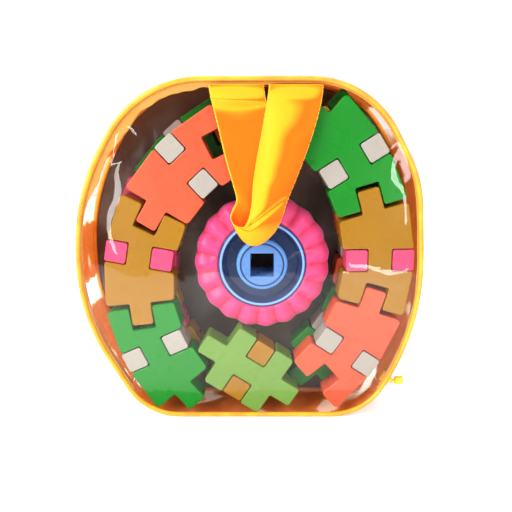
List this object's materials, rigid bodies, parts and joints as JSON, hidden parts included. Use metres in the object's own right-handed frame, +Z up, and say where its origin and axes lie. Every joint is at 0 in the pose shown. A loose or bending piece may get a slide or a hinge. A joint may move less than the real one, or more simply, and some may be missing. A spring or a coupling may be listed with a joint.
{
  "type": "interlocking toy block set in a zipped carry bag",
  "caption": "Clear zip carry bag with ribbon handle holding notched interlocking plastic blocks, square pegs and one ribbed wheel with a square socket.",
  "frame": {"origin": "middle of the flat base that the closed bag stands on", "axes": "+Z up, +X to the right seen from the front, front face towards -Y"},
  "size_m": [0.2547, 0.0523, 0.2526],
  "materials": {
    "clear_film": "clear glossy flexible vinyl film",
    "dark_film": "dark smoky glossy vinyl sheet",
    "yellow_piping": "bright yellow moulded piping bead",
    "yellow_fabric": "yellow-orange woven polyester",
    "yellow_coil": "yellow nylon zip coil, slider and pull",
    "yellow_ribbon": "bright yellow ribbon with stitched edges",
    "pink_rubber": "soft pink tyre, satin",
    "navy_plastic": "dark blue moulded plastic",
    "blue_plastic": "mid blue moulded plastic",
    "orange_plastic": "orange-red moulded plastic",
    "gold_plastic": "golden moulded plastic",
    "green_plastic": "green moulded plastic",
    "light_green_plastic": "light green moulded plastic",
    "pink_plastic": "pink moulded plastic",
    "white_plastic": "white moulded plastic",
    "orange_red_plastic": "dark orange moulded plastic",
    "yellow_plastic": "yellow moulded plastic"
  },
  "bodies": {
    "bag": {"back_panel": "dark_film", "back_piping": "yellow_piping", "base_gusset": "yellow_fabric", "block_back_gold_lower_left": "gold_plastic", "block_back_green_lower_right": "green_plastic", "block_back_green_upper_left": "green_plastic", "block_back_green_upper_right": "green_plastic", "block_back_orange_right": "orange_plastic", "block_back_pink_left": "pink_plastic", "block_gold_left": "gold_plastic", "block_gold_right": "gold_plastic", "block_green_lower_left": "green_plastic", "block_green_upper_right": "green_plastic", "block_orange_lower_right": "orange_plastic", "block_orange_upper_left": "orange_plastic", "block_straight_light_green": "light_green_plastic", "bush": "blue_plastic", "bush_cap": "blue_plastic", "front_panel_foot": "clear_film", "front_piping_foot": "yellow_piping", "key_peg_orange": "orange_red_plastic", "key_peg_yellow": "yellow_plastic", "peg_inner_gold_left": "pink_plastic", "peg_inner_gold_right": "pink_plastic", "peg_inner_green_lower_left": "white_plastic", "peg_inner_green_upper_right": "white_plastic", "peg_inner_orange_lower_right": "white_plastic", "peg_inner_orange_upper_left": "white_plastic", "peg_inner_straight_light_green": "gold_plastic", "peg_outer_gold_left": "pink_plastic", "peg_outer_gold_right": "pink_plastic", "peg_outer_green_lower_left": "white_plastic", "peg_outer_green_upper_right": "white_plastic", "peg_outer_orange_lower_right": "white_plastic", "peg_outer_orange_upper_left": "white_plastic", "peg_outer_straight_light_green": "gold_plastic", "pegs_back_gold_lower_left": "pink_plastic", "pegs_back_green_lower_right": "white_plastic", "pegs_back_green_upper_left": "white_plastic", "pegs_back_green_upper_right": "white_plastic", "pegs_back_orange_right": "white_plastic", "pegs_back_pink_left": "navy_plastic", "rear_zip_coil": "yellow_coil", "rear_zip_tape": "yellow_fabric", "side_gusset": "yellow_fabric", "zip_stop_left": "yellow_coil", "zip_stop_right": "yellow_coil"},
    "flap": {"front_panel": "clear_film", "front_piping": "yellow_piping", "front_seam_binding": "yellow_fabric", "front_zip_tape": "yellow_fabric", "front_zip_coil": "yellow_coil", "ribbon_sewn_ends": "yellow_ribbon"},
    "handle": {"ribbon_handle": "yellow_ribbon"},
    "slider": {"zip_slider": "yellow_coil"},
    "pull": {"zip_pull": "yellow_coil"},
    "wheel": {"tyre": "pink_rubber", "rim": "navy_plastic"}
  },
  "joints": [
    {"name": "flap_open", "type": "hinge", "parent": "bag", "child": "flap", "pos_m": [0, -0.022, 0.022], "axis": [1, 0, 0], "range_deg": [0, 90]},
    {"name": "zip_travel", "type": "hinge", "parent": "bag", "child": "slider", "pos_m": [-0.05257, -0.0145, 0.11454], "axis": [0, -1, 0], "range_deg": [0, 30]},
    {"name": "pull_swing", "type": "hinge", "parent": "slider", "child": "pull", "pos_m": [0.10946, -0.0145, 0.02673], "axis": [0, -1, 0], "range_deg": [-95, 35]},
    {"name": "handle_swing", "type": "hinge", "parent": "flap", "child": "handle", "pos_m": [0, -0.02635, 0.241], "axis": [-1, 0, 0], "range_deg": [0, 170]},
    {"name": "wheel_spin", "type": "hinge", "parent": "bag", "child": "wheel", "pos_m": [0.0095, -0.0049, 0.1198], "axis": [0, 1, 0], "continuous": true}
  ]
}
